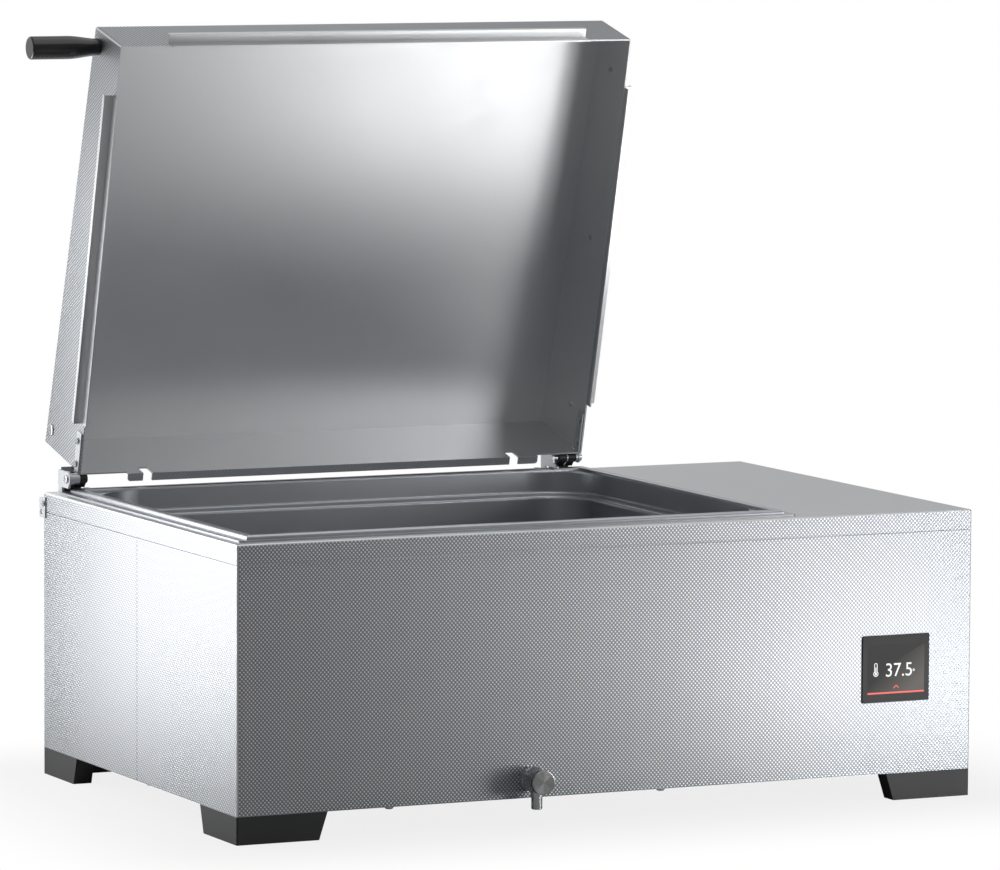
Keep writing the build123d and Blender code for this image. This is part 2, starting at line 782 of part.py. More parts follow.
with BuildPart() as hinge_arm_right:
    with BuildSketch(Plane.YZ.offset(right_arm_outer_x)):
        add(arm_outline())
    extrude(amount=-arm_sheet)
    with BuildSketch(Plane.YZ.offset(right_knuckle_inner_x)):
        with Locations((hinge_y, hinge_z)):
            Circle(knuckle_radius - 1)
            Circle(pin_radius + pin_clearance, mode=Mode.SUBTRACT)
    extrude(amount=right_arm_outer_x - arm_sheet - right_knuckle_inner_x)

with BuildPart() as hinge_arm_screws:
    for head_x, run, thickness in (
        (lid_left - arm_sheet, 1, arm_sheet + lid_sheet),
        (lid_right, -1, arm_sheet + lid_sheet),
    ):
        with BuildSketch(Plane.YZ.offset(head_x)):
            with Locations(*arm_screw_points):
                Circle(arm_screw_radius)
        extrude(amount=run * thickness)
        with BuildSketch(Plane.YZ.offset(head_x)):
            with Locations(*arm_screw_points):
                Circle(arm_screw_head)
        extrude(amount=-run * arm_screw_radius)
        with BuildSketch(Plane.YZ.offset(head_x + run * thickness)):
            with Locations(*arm_screw_points):
                RegularPolygon(arm_screw_head, 6)
        extrude(amount=run * arm_screw_radius)

with BuildPart() as lid_rivets:
    with BuildSketch(Plane.YZ.offset(lid_right)):
        with Locations(*rivet_points):
            Circle(rivet_shank_radius)
    extrude(amount=-lid_sheet)
    with BuildSketch(Plane.YZ.offset(lid_right - lid_sheet)):
        with Locations(*rivet_points):
            Circle(rivet_radius)
            Circle(rivet_shank_radius / 2, mode=Mode.SUBTRACT)
    extrude(amount=-rivet_radius / 2)
    with BuildSketch(Plane.YZ.offset(lid_right)):
        with Locations(*rivet_points):
            Circle(rivet_radius)
    extrude(amount=rivet_radius / 5)

with BuildPart() as lid_plug:
    with BuildSketch(Plane.YZ.offset(lid_left)):
        with Locations((plug_y, plug_z)):
            Circle(plug_shank_radius)
    extrude(amount=lid_sheet)
    with BuildSketch(Plane.YZ.offset(lid_left + lid_sheet)):
        with Locations((plug_y, plug_z)):
            Circle(plug_shank_radius + 0.7)
    extrude(amount=1)
    with BuildSketch(Plane.YZ.offset(lid_left)):
        with Locations((plug_y, plug_z)):
            Circle(plug_radius)
    extrude(amount=-plug_radius / 3)
    fillet(lid_plug.edges().group_by(Axis.X)[0], plug_radius / 4)

handle_plane = Plane(origin=(lid_left, handle_y, handle_z), x_dir=(-1, 0, 0), z_dir=(0, 1, 0))
handle_axis = Axis((lid_left, handle_y, handle_z), (-1, 0, 0))
with BuildPart() as handle_collar:
    with BuildSketch(Plane.YZ.offset(lid_left)):
        with Locations((handle_y, handle_z)):
            Circle(handle_collar_radius)
            Circle(handle_stud_radius + pin_clearance, mode=Mode.SUBTRACT)
    extrude(amount=-handle_collar_width)

with BuildPart() as handle_grip:
    grip_end = handle_collar_width + handle_length
    with BuildSketch(handle_plane):
        with BuildLine():
            base_point = (handle_collar_width, handle_neck_radius)
            neck_point = (handle_collar_width + 5, handle_neck_radius)
            barrel_point = (grip_end - handle_barrel, handle_radius)
            Line((handle_collar_width, 0), base_point)
            Line(base_point, neck_point)
            Spline(neck_point, barrel_point, tangents=((1, 0.1), (1, 0)))
            Polyline(barrel_point, (grip_end, handle_radius), (grip_end, 0), (handle_collar_width, 0))
        make_face()
    revolve(axis=handle_axis)
    fillet(handle_grip.edges().group_by(Axis.X)[0], handle_end_round)
    with BuildSketch(Plane.YZ.offset(lid_left - handle_collar_width)):
        with Locations((handle_y, handle_z)):
            Circle(handle_stud_radius + pin_clearance)
    extrude(amount=-handle_length / 2, mode=Mode.SUBTRACT)

with BuildPart() as handle_stud:
    with BuildSketch(Plane.YZ.offset(lid_left + lid_sheet)):
        with Locations((handle_y, handle_z)):
            Circle(handle_stud_radius)
    extrude(amount=-(lid_sheet + handle_collar_width + handle_length / 2 - 1))
    with BuildSketch(Plane.YZ.offset(lid_left + lid_sheet)):
        with Locations((handle_y, handle_z)):
            Circle(2 * handle_stud_radius)
    extrude(amount=handle_stud_radius)
    fillet(handle_stud.edges().group_by(Axis.X)[-1], handle_stud_radius / 3)

# Drain valve: described along a line that runs to the front from the face of the casing
valve_plane = Plane(origin=(valve_x, front_y, valve_height), x_dir=(1, 0, 0), z_dir=(0, -1, 0))
valve_axis = Axis((valve_x, front_y, valve_height), (0, -1, 0))
body_front = valve_collar_length + valve_body_length
chamber_back = valve_collar_length - 1
chamber_front = body_front - 2.5
spout_y = front_y - spout_reach
spout_top_z = valve_height - valve_flats / 2 - spout_boss_drop


def along_valve(distance):
    """Plane across the valve at a distance in front of the casing."""
    return valve_plane.offset(distance)


with BuildPart() as drain_collar:
    with BuildSketch(valve_plane):
        Circle(valve_collar_radius)
        Circle(valve_spigot_radius + pin_clearance, mode=Mode.SUBTRACT)
    extrude(amount=valve_collar_length)
    fillet(drain_collar.edges().group_by(Axis.Y)[0].sort_by(SortBy.RADIUS)[-1:], 1)

with BuildPart() as drain_valve_body:
    with BuildSketch(along_valve(-valve_spigot_tail)):
        Circle(valve_spigot_radius)
    extrude(amount=valve_spigot_tail + valve_collar_length)
    with BuildSketch(along_valve(valve_collar_length)):
        RegularPolygon(valve_flats / 2, 6, major_radius=False, rotation=30)
    extrude(amount=valve_body_length)
    with Locations((valve_x, spout_y, spout_top_z)):
        Cylinder(spout_radius + spout_boss, valve_height - spout_top_z, align=UP)
    with BuildSketch(along_valve(-valve_spigot_tail)):
        Circle(valve_bore_radius)
    extrude(amount=valve_spigot_tail + chamber_back, mode=Mode.SUBTRACT)
    with BuildSketch(along_valve(chamber_back)):
        Circle(valve_plug_radius + pin_clearance)
    extrude(amount=chamber_front - chamber_back, mode=Mode.SUBTRACT)
    with BuildSketch(along_valve(chamber_front)):
        Circle(valve_stem_radius + pin_clearance)
    extrude(amount=body_front - chamber_front, mode=Mode.SUBTRACT)
    with Locations((valve_x, spout_y, valve_height)):
        Cylinder(valve_bore_radius, valve_flats, align=DOWN, mode=Mode.SUBTRACT)

with BuildPart() as drain_spout:
    with Locations((valve_x, spout_y, spout_end_z)):
        Cylinder(spout_radius, spout_top_z - spout_end_z, align=UP)
        Cylinder(valve_bore_radius, spout_top_z - spout_end_z, align=UP, mode=Mode.SUBTRACT)
    chamfer(drain_spout.edges().group_by(Axis.Z)[0].sort_by(SortBy.RADIUS)[-1:], 0.8)

with BuildPart() as drain_knob:
    with BuildSketch(along_valve(chamber_back + 0.2)):
        Circle(valve_plug_radius)
    extrude(amount=chamber_front - chamber_back - 0.4)
    with BuildSketch(along_valve(chamber_front - 0.2)):
        Circle(valve_stem_radius)
    extrude(amount=body_front + valve_knob_gap - chamber_front + 0.2)
    # Port of the plug: in from the rear and out to the side, so the valve is shut at rest
    with BuildSketch(along_valve(chamber_back)):
        Circle(valve_bore_radius)
    extrude(amount=spout_reach - chamber_back, mode=Mode.SUBTRACT)
    with BuildSketch(Plane.YZ.offset(valve_x)):
        with Locations((spout_y, valve_height)):
            Circle(valve_bore_radius)
    extrude(amount=valve_knob_radius, mode=Mode.SUBTRACT)
    knob_groove = 2
    knob_disc = (valve_knob_length - knob_groove) / 2
    knob_back = body_front + valve_knob_gap
    with BuildSketch(along_valve(knob_back)):
        Circle(valve_knob_radius)
    extrude(amount=knob_disc)
    with BuildSketch(along_valve(knob_back + knob_disc)):
        Circle(valve_knob_radius - 1.5)
    extrude(amount=knob_groove)
    with BuildSketch(along_valve(knob_back + knob_disc + knob_groove)):
        Circle(valve_knob_radius)
    extrude(amount=knob_disc)
    fillet(drain_knob.edges().group_by(Axis.Y)[0], 0.6)

nut_thickness = 5
with BuildPart() as drain_lock_nut:
    with BuildSketch(along_valve(-casing_sheet)):
        RegularPolygon(valve_flats / 2, 6, major_radius=False)
        Circle(valve_spigot_radius + pin_clearance, mode=Mode.SUBTRACT)
    extrude(amount=-nut_thickness)

# Drain line inside: stub under the trough floor, hose with one bend, two clips
stub_radius = valve_spigot_radius
stub_length = 13
hose_inner = stub_radius + 0.1
hose_top_z = trough_floor_z - trough_sheet - 4
hose_front_y = front_y + casing_sheet + nut_thickness + 2
with BuildPart() as trough_outlet:
    with Locations((trough_x, outlet_y, trough_floor_z - trough_sheet)):
        Cylinder(stub_radius, stub_length, align=DOWN)
        Cylinder(stub_radius - trough_sheet, stub_length, align=DOWN, mode=Mode.SUBTRACT)

with BuildPart() as drain_hose:
    with BuildLine(Plane.YZ.offset(trough_x)) as hose_route:
        FilletPolyline(
            (outlet_y, hose_top_z), (outlet_y, valve_height), (hose_front_y, valve_height), radius=hose_bend
        )
    with BuildSketch(Plane.XY.offset(hose_top_z)):
        with Locations((trough_x, outlet_y)):
            Circle(hose_inner + hose_wall)
            Circle(hose_inner, mode=Mode.SUBTRACT)
    sweep(path=hose_route.wires()[0])

clip_radius = hose_inner + hose_wall + 0.1
with BuildPart() as hose_clips:
    with Locations((trough_x, outlet_y, hose_top_z - 1)):
        Cylinder(clip_radius + 1.2, 6, align=DOWN)
        Cylinder(clip_radius, 6, align=DOWN, mode=Mode.SUBTRACT)
    with BuildSketch(Plane.XZ.offset(-(hose_front_y + 2))):
        with Locations((valve_x, valve_height)):
            Circle(clip_radius + 1.2)
            Circle(clip_radius, mode=Mode.SUBTRACT)
    extrude(amount=-6)

# Display on the front face, its housing and the control board behind it
with BuildPart() as display_glass:
    with BuildSketch(Plane.XZ.offset(half_depth)):
        with Locations((display_x, display_z)):
            RectangleRounded(display_width, display_height, display_corner)
    extrude(amount=display_thickness)
    chamfer(display_glass.faces().sort_by(Axis.Y)[0].edges(), 0.3)

with BuildPart() as display_housing:
    # Spigot through the casing, flange behind it and an open box that holds the board
    with BuildSketch(Plane.XZ.offset(half_depth)):
        with Locations((display_x, display_z)):
            Rectangle(
                display_width - 2 * (display_overlap + screw_hole_gap),
                display_height - 2 * (display_overlap + screw_hole_gap),
            )
    extrude(amount=-casing_sheet)
    with BuildSketch(Plane.XZ.offset(half_depth - casing_sheet)):
        with Locations((display_x, display_z)):
            RectangleRounded(
                display_width + 2 * housing_flange, display_height + 2 * housing_flange, housing_corner
            )
    extrude(amount=-housing_flange_sheet)
    with BuildSketch(Plane.XZ.offset(half_depth - casing_sheet - housing_flange_sheet)):
        with Locations((display_x, display_z)):
            RectangleRounded(display_width, display_height, housing_corner)
            Rectangle(
                display_width - 2 * housing_sheet, display_height - 2 * housing_sheet, mode=Mode.SUBTRACT
            )
    extrude(amount=-housing_depth)

board_y = front_y + casing_sheet + housing_flange_sheet + housing_depth
with BuildPart() as control_board:
    with BuildSketch(Plane.XZ.offset(-board_y)):
        with Locations((display_x, display_z)):
            Rectangle(display_width, display_height)
    extrude(amount=-board_sheet)
    with BuildSketch(Plane.XZ.offset(-board_y - board_sheet)):
        with Locations((display_x, display_z)):
            with GridLocations(display_width / 2, display_height / 2, 2, 2):
                Rectangle(chip_side, chip_side)
    extrude(amount=-chip_height)

# Control compartment: divider beside the trough, power board and terminals on the base plate
divider_x = trough_x + rim_width / 2 + compartment_gap
divider_length = body_depth - foot_screw_inset
divider_flange = 12
with BuildPart() as divider_wall:
    with BuildSketch(Plane.XY.offset(plate_top)):
        with Locations((divider_x, 0)):
            Rectangle(divider_flange, divider_length, align=(Align.MIN, Align.CENTER))
    extrude(amount=casing_sheet)
    with BuildSketch(Plane.XY.offset(plate_top)):
        with Locations((divider_x, 0)):
            Rectangle(casing_sheet, divider_length, align=(Align.MIN, Align.CENTER))
    extrude(amount=deck_height - casing_sheet - plate_top)

board_x = (divider_x + half_width) / 2
board_width = (half_width - divider_x) * 0.63
board_length = board_width * 1.2
board_shift_y = board_length / 4
standoff_height = 8
standoff_radius = 3.5
transformer_side = board_width / 3
transformer_height = 34
capacitor_radius = 9
capacitor_height = 24
relay_width = 14
relay_length = 22
relay_height = 12
with BuildPart() as board_standoffs:
    with BuildSketch(Plane.XY.offset(plate_top)):
        with Locations((board_x, board_shift_y)):
            with GridLocations(board_width * 0.86, board_length * 0.86, 2, 2):
                Circle(standoff_radius)
    extrude(amount=standoff_height)

with BuildPart() as power_board:
    with BuildSketch(Plane.XY.offset(plate_top + standoff_height)):
        with Locations((board_x, board_shift_y)):
            Rectangle(board_width, board_length)
    extrude(amount=board_sheet)
    board_top = plate_top + standoff_height + board_sheet
    with BuildSketch(Plane.XY.offset(board_top)):
        with Locations((board_x - board_width / 4, 2 * board_shift_y)):
            Rectangle(transformer_side, transformer_side)
    extrude(amount=transformer_height)
    with BuildSketch(Plane.XY.offset(board_top)):
        with Locations((board_x + board_width / 4, 2 * board_shift_y)):
            with GridLocations(1, 3 * capacitor_radius, 1, 2):
                Circle(capacitor_radius)
    extrude(amount=capacitor_height)
    with BuildSketch(Plane.XY.offset(board_top)):
        with Locations((board_x, 0)):
            with GridLocations(board_width / 4, 1, 3, 1):
                Rectangle(relay_width, relay_length)
    extrude(amount=relay_height)

# Heaters under and beside the tank, probes and cut-out on its right wall
heater_sheet = 3
with BuildPart() as heater_floor:
    with BuildSketch(Plane.XY.offset(trough_floor_z - trough_sheet)):
        with Locations((trough_x, 0)):
            Rectangle(tank_width - 4 * floor_radius, tank_depth - 4 * floor_radius + 60)
        with Locations((trough_x, outlet_y)):
            Rectangle(70, 70, mode=Mode.SUBTRACT)
    extrude(amount=-heater_sheet)

side_heater_z = trough_floor_z + floor_radius + 8
side_heater_height = ledge_z - ledge_edge_round - side_heater_z - 30
with BuildPart() as heater_left:
    with BuildSketch(Plane.YZ.offset(trough_x - tank_width / 2 - trough_sheet)):
        with Locations((0, side_heater_z)):
            Rectangle(tank_depth - 3 * tank_radius, side_heater_height, align=(Align.CENTER, Align.MIN))
    extrude(amount=-heater_sheet)

with BuildPart() as heater_right:
    with BuildSketch(Plane.YZ.offset(trough_x + tank_width / 2 + trough_sheet)):
        with Locations((0, side_heater_z)):
            Rectangle(tank_depth - 3 * tank_radius, side_heater_height, align=(Align.CENTER, Align.MIN))
    extrude(amount=heater_sheet)

probe_radius = 3
probe_length = 60
probe_x = trough_x + tank_width / 2 + trough_sheet + probe_radius
probe_y = tank_depth / 2 - 1.5 * tank_radius + 10
with BuildPart() as temperature_probes:
    with Locations((probe_x, probe_y, side_heater_z), (probe_x, -probe_y, side_heater_z)):
        Cylinder(probe_radius, probe_length, align=UP)
        with Locations((0, 0, probe_length)):
            Cylinder(probe_radius / 2, probe_length / 3, align=UP)

cutout_width = 44
cutout_height = 34
cutout_depth = 22
cutout_corner = 4
cutout_button_radius = 9
cutout_button_height = 8
cutout_y = -divider_length / 4
cutout_z = (plate_top + deck_height) / 2
with BuildPart() as limit_thermostat:
    with BuildSketch(Plane.YZ.offset(divider_x + casing_sheet)):
        with Locations((cutout_y, cutout_z)):
            RectangleRounded(cutout_width, cutout_height, cutout_corner)
    extrude(amount=cutout_depth)
    with BuildSketch(Plane.YZ.offset(divider_x + casing_sheet + cutout_depth)):
        with Locations((cutout_y, cutout_z)):
            Circle(cutout_button_radius)
    extrude(amount=cutout_button_height)

# Insulation boards against the inside of the casing
wool_gap = 3
wool_low_z = valve_height + 24
wool_height = seam_z - joggle_lap - 6 - wool_low_z
wool_thickness = half_depth - casing_sheet - opening_depth / 2 - trough_sheet - wool_gap
wool_side = half_width + trough_x - opening_width / 2 - trough_sheet - casing_sheet - wool_gap
with BuildPart() as insulation_front:
    with BuildSketch(Plane.XZ.offset(half_depth - casing_sheet)):
        with Locations((trough_x, wool_low_z)):
            Rectangle(opening_width, wool_height, align=(Align.CENTER, Align.MIN))
    extrude(amount=-wool_thickness)

with BuildPart() as insulation_rear:
    with BuildSketch(Plane.XZ.offset(-half_depth + casing_sheet)):
        with Locations((trough_x, wool_low_z)):
            Rectangle(opening_width, wool_height, align=(Align.CENTER, Align.MIN))
    extrude(amount=wool_thickness)

with BuildPart() as insulation_left:
    with BuildSketch(Plane.YZ.offset(-half_width + casing_sheet)):
        with Locations((0, wool_low_z)):
            Rectangle(tank_depth, wool_height, align=(Align.CENTER, Align.MIN))
    extrude(amount=wool_side)

# Rear of the compartment: mains inlet and rocker switch
rear_plane = Plane(origin=(0, half_depth, 0), x_dir=(-1, 0, 0), z_dir=(0, 1, 0))
inlet_flange = 3
with BuildPart() as power_inlet:
    with BuildSketch(rear_plane):
        with Locations((-inlet_x, inlet_z)):
            RectangleRounded(inlet_cutout[0] + 5, inlet_cutout[1] + 5, 3)
    extrude(amount=inlet_flange)
    with BuildSketch(rear_plane):
        with Locations((-inlet_x, inlet_z)):
            Rectangle(inlet_cutout[0] - 0.6, inlet_cutout[1] - 0.6)
    extrude(amount=-20)
    with BuildSketch(rear_plane.offset(inlet_flange)) as socket:
        with Locations((-inlet_x, inlet_z)):
            Rectangle(inlet_cutout[0] - 3.6, inlet_cutout[1] - 3.6)
        chamfer(socket.vertices().group_by(Axis.Y)[0], 4)
    extrude(amount=-18, mode=Mode.SUBTRACT)
    with BuildSketch(rear_plane.offset(-18 + inlet_flange)):
        with Locations(
            (-inlet_x, inlet_z + 3), (-inlet_x - 7, inlet_z - 2), (-inlet_x + 7, inlet_z - 2)
        ):
            Rectangle(2, 4)
    extrude(amount=15)

rocker_half = 8.2
rocker_width = 12
rocker_pivot_radius = 1.5
rocker_tilt = 8
pivot_y = half_depth - 3
with BuildPart() as power_switch_frame:
    with BuildSketch(rear_plane):
        with Locations((-inlet_x, switch_z)):
            RectangleRounded(switch_cutout[0] + 5, switch_cutout[1] + 5, 2)
    extrude(amount=2)
    with BuildSketch(rear_plane):
        with Locations((-inlet_x, switch_z)):
            Rectangle(switch_cutout[0] - 0.6, switch_cutout[1] - 0.6)
    extrude(amount=-18)
    with BuildSketch(rear_plane.offset(2)):
        with Locations((-inlet_x, switch_z)):
            Rectangle(rocker_width + 1.2, 2 * rocker_half + 2.8)
    extrude(amount=-16, mode=Mode.SUBTRACT)
    with BuildSketch(Plane.YZ.offset(inlet_x)):
        with Locations((pivot_y, switch_z)):
            Circle(rocker_pivot_radius + pin_clearance)
    extrude(amount=rocker_width / 2 + 2.5, both=True, mode=Mode.SUBTRACT)

with BuildPart() as power_switch_rocker:
    with BuildSketch(Plane.YZ.offset(inlet_x)):
        with BuildLine():
            Polyline(
                (pivot_y - 5, switch_z - 4),
                (pivot_y + 5.5, switch_z - rocker_half),
                (pivot_y + 3.5, switch_z),
                (pivot_y + 5.5, switch_z + rocker_half),
                (pivot_y - 5, switch_z + 4),
                close=True,
            )
        make_face()
    extrude(amount=rocker_width / 2, both=True)
    with BuildSketch(Plane.YZ.offset(inlet_x)):
        with Locations((pivot_y, switch_z)):
            Circle(rocker_pivot_radius)
    extrude(amount=rocker_width / 2 + 2, both=True)

# Clips at the rear corners of the deck
clip_low_z = deck_height - 26.5
clip_height = 21
clip_reach = 8
clip_hole_radius = 2.8


def corner_clip(side_x):
    """Flat clip on one side face, with a screw to the skirt and a free hole behind the casing."""
    with BuildPart() as clip:
        with BuildSketch(Plane.YZ.offset(side_x * half_width)):
            with Locations((half_depth, clip_low_z)):
                Rectangle(2 * clip_reach, clip_height, align=(Align.CENTER, Align.MIN))
            with Locations((clip_screw_y, clip_screw_z)):
                Circle(clip_screw_radius + screw_hole_gap, mode=Mode.SUBTRACT)
            with Locations((half_depth + clip_reach * 0.3, clip_low_z + 6)):
                Circle(clip_hole_radius, mode=Mode.SUBTRACT)
        extrude(amount=side_x * casing_sheet)
        rear_edges = clip.edges().filter_by(Axis.X).group_by(Axis.Y)[-1]
        fillet(rear_edges, clip_reach / 4)
    return clip


corner_clip_left = corner_clip(-1)
corner_clip_right = corner_clip(1)

with BuildPart() as corner_clip_screws:
    for side_x in (-1, 1):
        with BuildSketch(Plane.YZ.offset(side_x * (half_width + casing_sheet))):
            with Locations((clip_screw_y, clip_screw_z)):
                Circle(2 * clip_screw_radius)
        extrude(amount=side_x * clip_screw_radius)
        with BuildSketch(Plane.YZ.offset(side_x * (half_width + casing_sheet))):
            with Locations((clip_screw_y, clip_screw_z)):
                Circle(clip_screw_radius)
        extrude(amount=-side_x * (2 * casing_sheet + joggle_sheet + 1))

for name, piece in {
    "front_casing": front_casing,
    "rear_casing": rear_casing,
    "base_plate": base_plate,
    "top_deck": top_deck,
    "trough": trough,
    "foot_front_left": foot_front_left,
    "foot_front_right": foot_front_right,
    "foot_rear_left": foot_rear_left,
    "foot_rear_right": foot_rear_right,
    "foot_screws": foot_screws,
    "base_screws": base_screws,
    "hinge_bracket_left": hinge_bracket_left,
    "hinge_bracket_right": hinge_bracket_right,
    "hinge_block_left": hinge_block_left,
    "hinge_block_right": hinge_block_right,
    "hinge_pin_left": hinge_pin_left,
    "hinge_pin_right": hinge_pin_right,
    "hinge_bracket_screws": hinge_bracket_screws,
    "drain_collar": drain_collar,
    "drain_valve_body": drain_valve_body,
    "drain_spout": drain_spout,
    "drain_knob": drain_knob,
    "drain_lock_nut": drain_lock_nut,
    "trough_outlet": trough_outlet,
    "drain_hose": drain_hose,
    "hose_clips": hose_clips,
    "display_glass": display_glass,
    "display_housing": display_housing,
    "control_board": control_board,
    "divider_wall": divider_wall,
    "board_standoffs": board_standoffs,
    "power_board": power_board,
    "heater_floor": heater_floor,
    "heater_left": heater_left,
    "heater_right": heater_right,
    "temperature_probes": temperature_probes,
    "limit_thermostat": limit_thermostat,
    "insulation_front": insulation_front,
    "insulation_rear": insulation_rear,
    "insulation_left": insulation_left,
    "power_inlet": power_inlet,
    "power_switch_frame": power_switch_frame,
    "corner_clip_left": corner_clip_left,
    "corner_clip_right": corner_clip_right,
    "corner_clip_screws": corner_clip_screws,
}.items():
    piece.part.label = name
    export_step(piece.part, f"parts/{name}.step")

# Lid pieces, turned open about the hinge line
for name, piece in {
    "lid_shell": lid_shell,
    "lid_rail_left": lid_rail_left,
    "lid_rail_right": lid_rail_right,
    "lid_rail_front": lid_rail_front,
    "hinge_arm_left": hinge_arm_left,
    "hinge_arm_right": hinge_arm_right,
    "hinge_arm_screws": hinge_arm_screws,
    "lid_rivets": lid_rivets,
    "lid_plug": lid_plug,
    "handle_collar": handle_collar,
    "handle_grip": handle_grip,
    "handle_stud": handle_stud,
}.items():
    piece.part = piece.part.rotate(hinge_line, -open_angle)
    piece.part.label = name
    export_step(piece.part, f"parts/{name}.step")

# Rocker, saved tilted to its off side
pivot_line = Axis((inlet_x, pivot_y, switch_z), (1, 0, 0))
power_switch_rocker.part = power_switch_rocker.part.rotate(pivot_line, -rocker_tilt)
power_switch_rocker.part.label = "power_switch_rocker"
export_step(power_switch_rocker.part, "parts/power_switch_rocker.step")
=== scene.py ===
"""Finish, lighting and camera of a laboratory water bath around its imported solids."""
import json
import math

import bmesh
import bpy
from mathutils import Matrix, Vector


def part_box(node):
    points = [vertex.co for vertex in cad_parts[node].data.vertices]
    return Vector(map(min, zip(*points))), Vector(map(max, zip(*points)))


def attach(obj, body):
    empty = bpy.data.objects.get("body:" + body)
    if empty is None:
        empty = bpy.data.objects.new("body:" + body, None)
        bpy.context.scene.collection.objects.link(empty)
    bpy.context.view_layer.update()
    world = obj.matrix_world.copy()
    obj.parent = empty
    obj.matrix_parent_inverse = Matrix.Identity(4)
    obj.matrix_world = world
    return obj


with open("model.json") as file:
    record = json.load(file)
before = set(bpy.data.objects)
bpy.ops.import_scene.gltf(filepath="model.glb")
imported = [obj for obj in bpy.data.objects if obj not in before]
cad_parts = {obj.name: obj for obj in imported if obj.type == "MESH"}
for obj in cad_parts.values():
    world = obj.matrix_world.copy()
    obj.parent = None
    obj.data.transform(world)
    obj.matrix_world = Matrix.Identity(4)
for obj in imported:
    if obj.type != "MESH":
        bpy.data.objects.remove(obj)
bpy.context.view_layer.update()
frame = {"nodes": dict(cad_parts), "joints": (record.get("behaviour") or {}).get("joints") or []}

MM = 0.001
lid_open_angle = math.radians(75.8)
lid_joint = [joint for joint in frame["joints"] if joint["name"] == "lid_hinge"][0]
hinge_y = lid_joint["pos_m"][1]
hinge_z = lid_joint["pos_m"][2]

# Lid in its closed place, in millimetres
hinge_behind_lid = 5.2
hinge_above_rim = 3.3
lid_depth = 464
lid_front_height = 71.5
lid_rear_height = 103
lid_sheet = 1.5
lid_low, lid_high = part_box("lid_shell")
lid_left_x = lid_low[0] / MM
lid_right_x = lid_high[0] / MM
lid_rear_y = hinge_y / MM - hinge_behind_lid
lid_front_y = lid_rear_y - lid_depth
lid_rim_z = hinge_z / MM - hinge_above_rim

# Middle of the drain knob's round face, in millimetres
knob_low, knob_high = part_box("drain_knob")
knob_x = (knob_low[0] + knob_high[0]) / 2 / MM
knob_z = (knob_low[2] + knob_high[2]) / 2 / MM

# Camera that was fitted to the casing's corners, in metres
camera_place = (-2.91923, -6.16226, 1.04619)
camera_yaw = math.radians(25.3116)
camera_pitch = math.radians(5.7127)
camera_roll = math.radians(0.3062)
camera_lens = 238.86
camera_reach = 60


class Number:
    """A shader socket that arithmetic can be written on."""

    def __init__(self, finish, socket):
        self.finish = finish
        self.socket = socket

    def math(self, operation, *others):
        return self.finish.node("ShaderNodeMath", {"operation": operation}, [self, *others])

    def __add__(self, other):
        return self.math("ADD", other)

    __radd__ = __add__

    def __mul__(self, other):
        return self.math("MULTIPLY", other)

    __rmul__ = __mul__

    def __sub__(self, other):
        return self.math("SUBTRACT", other)

    def __rsub__(self, other):
        return self.finish.node("ShaderNodeMath", {"operation": "SUBTRACT"}, [other, self])

    def __truediv__(self, other):
        return self.math("DIVIDE", other)

    def __gt__(self, other):
        return self.math("GREATER_THAN", other)

    def __lt__(self, other):
        return self.math("LESS_THAN", other)

    def __abs__(self):
        return self.math("ABSOLUTE")

    def fraction(self):
        return self.math("FRACT")

    def power(self, exponent):
        return self.math("POWER", exponent)

    def ramp(self, low, high):
        """0 below low, 1 above high, eased between."""
        settings = {"interpolation_type": "SMOOTHSTEP"}
        inputs = {"Value": self, "From Min": low, "From Max": high}
        return self.finish.node("ShaderNodeMapRange", settings, inputs)


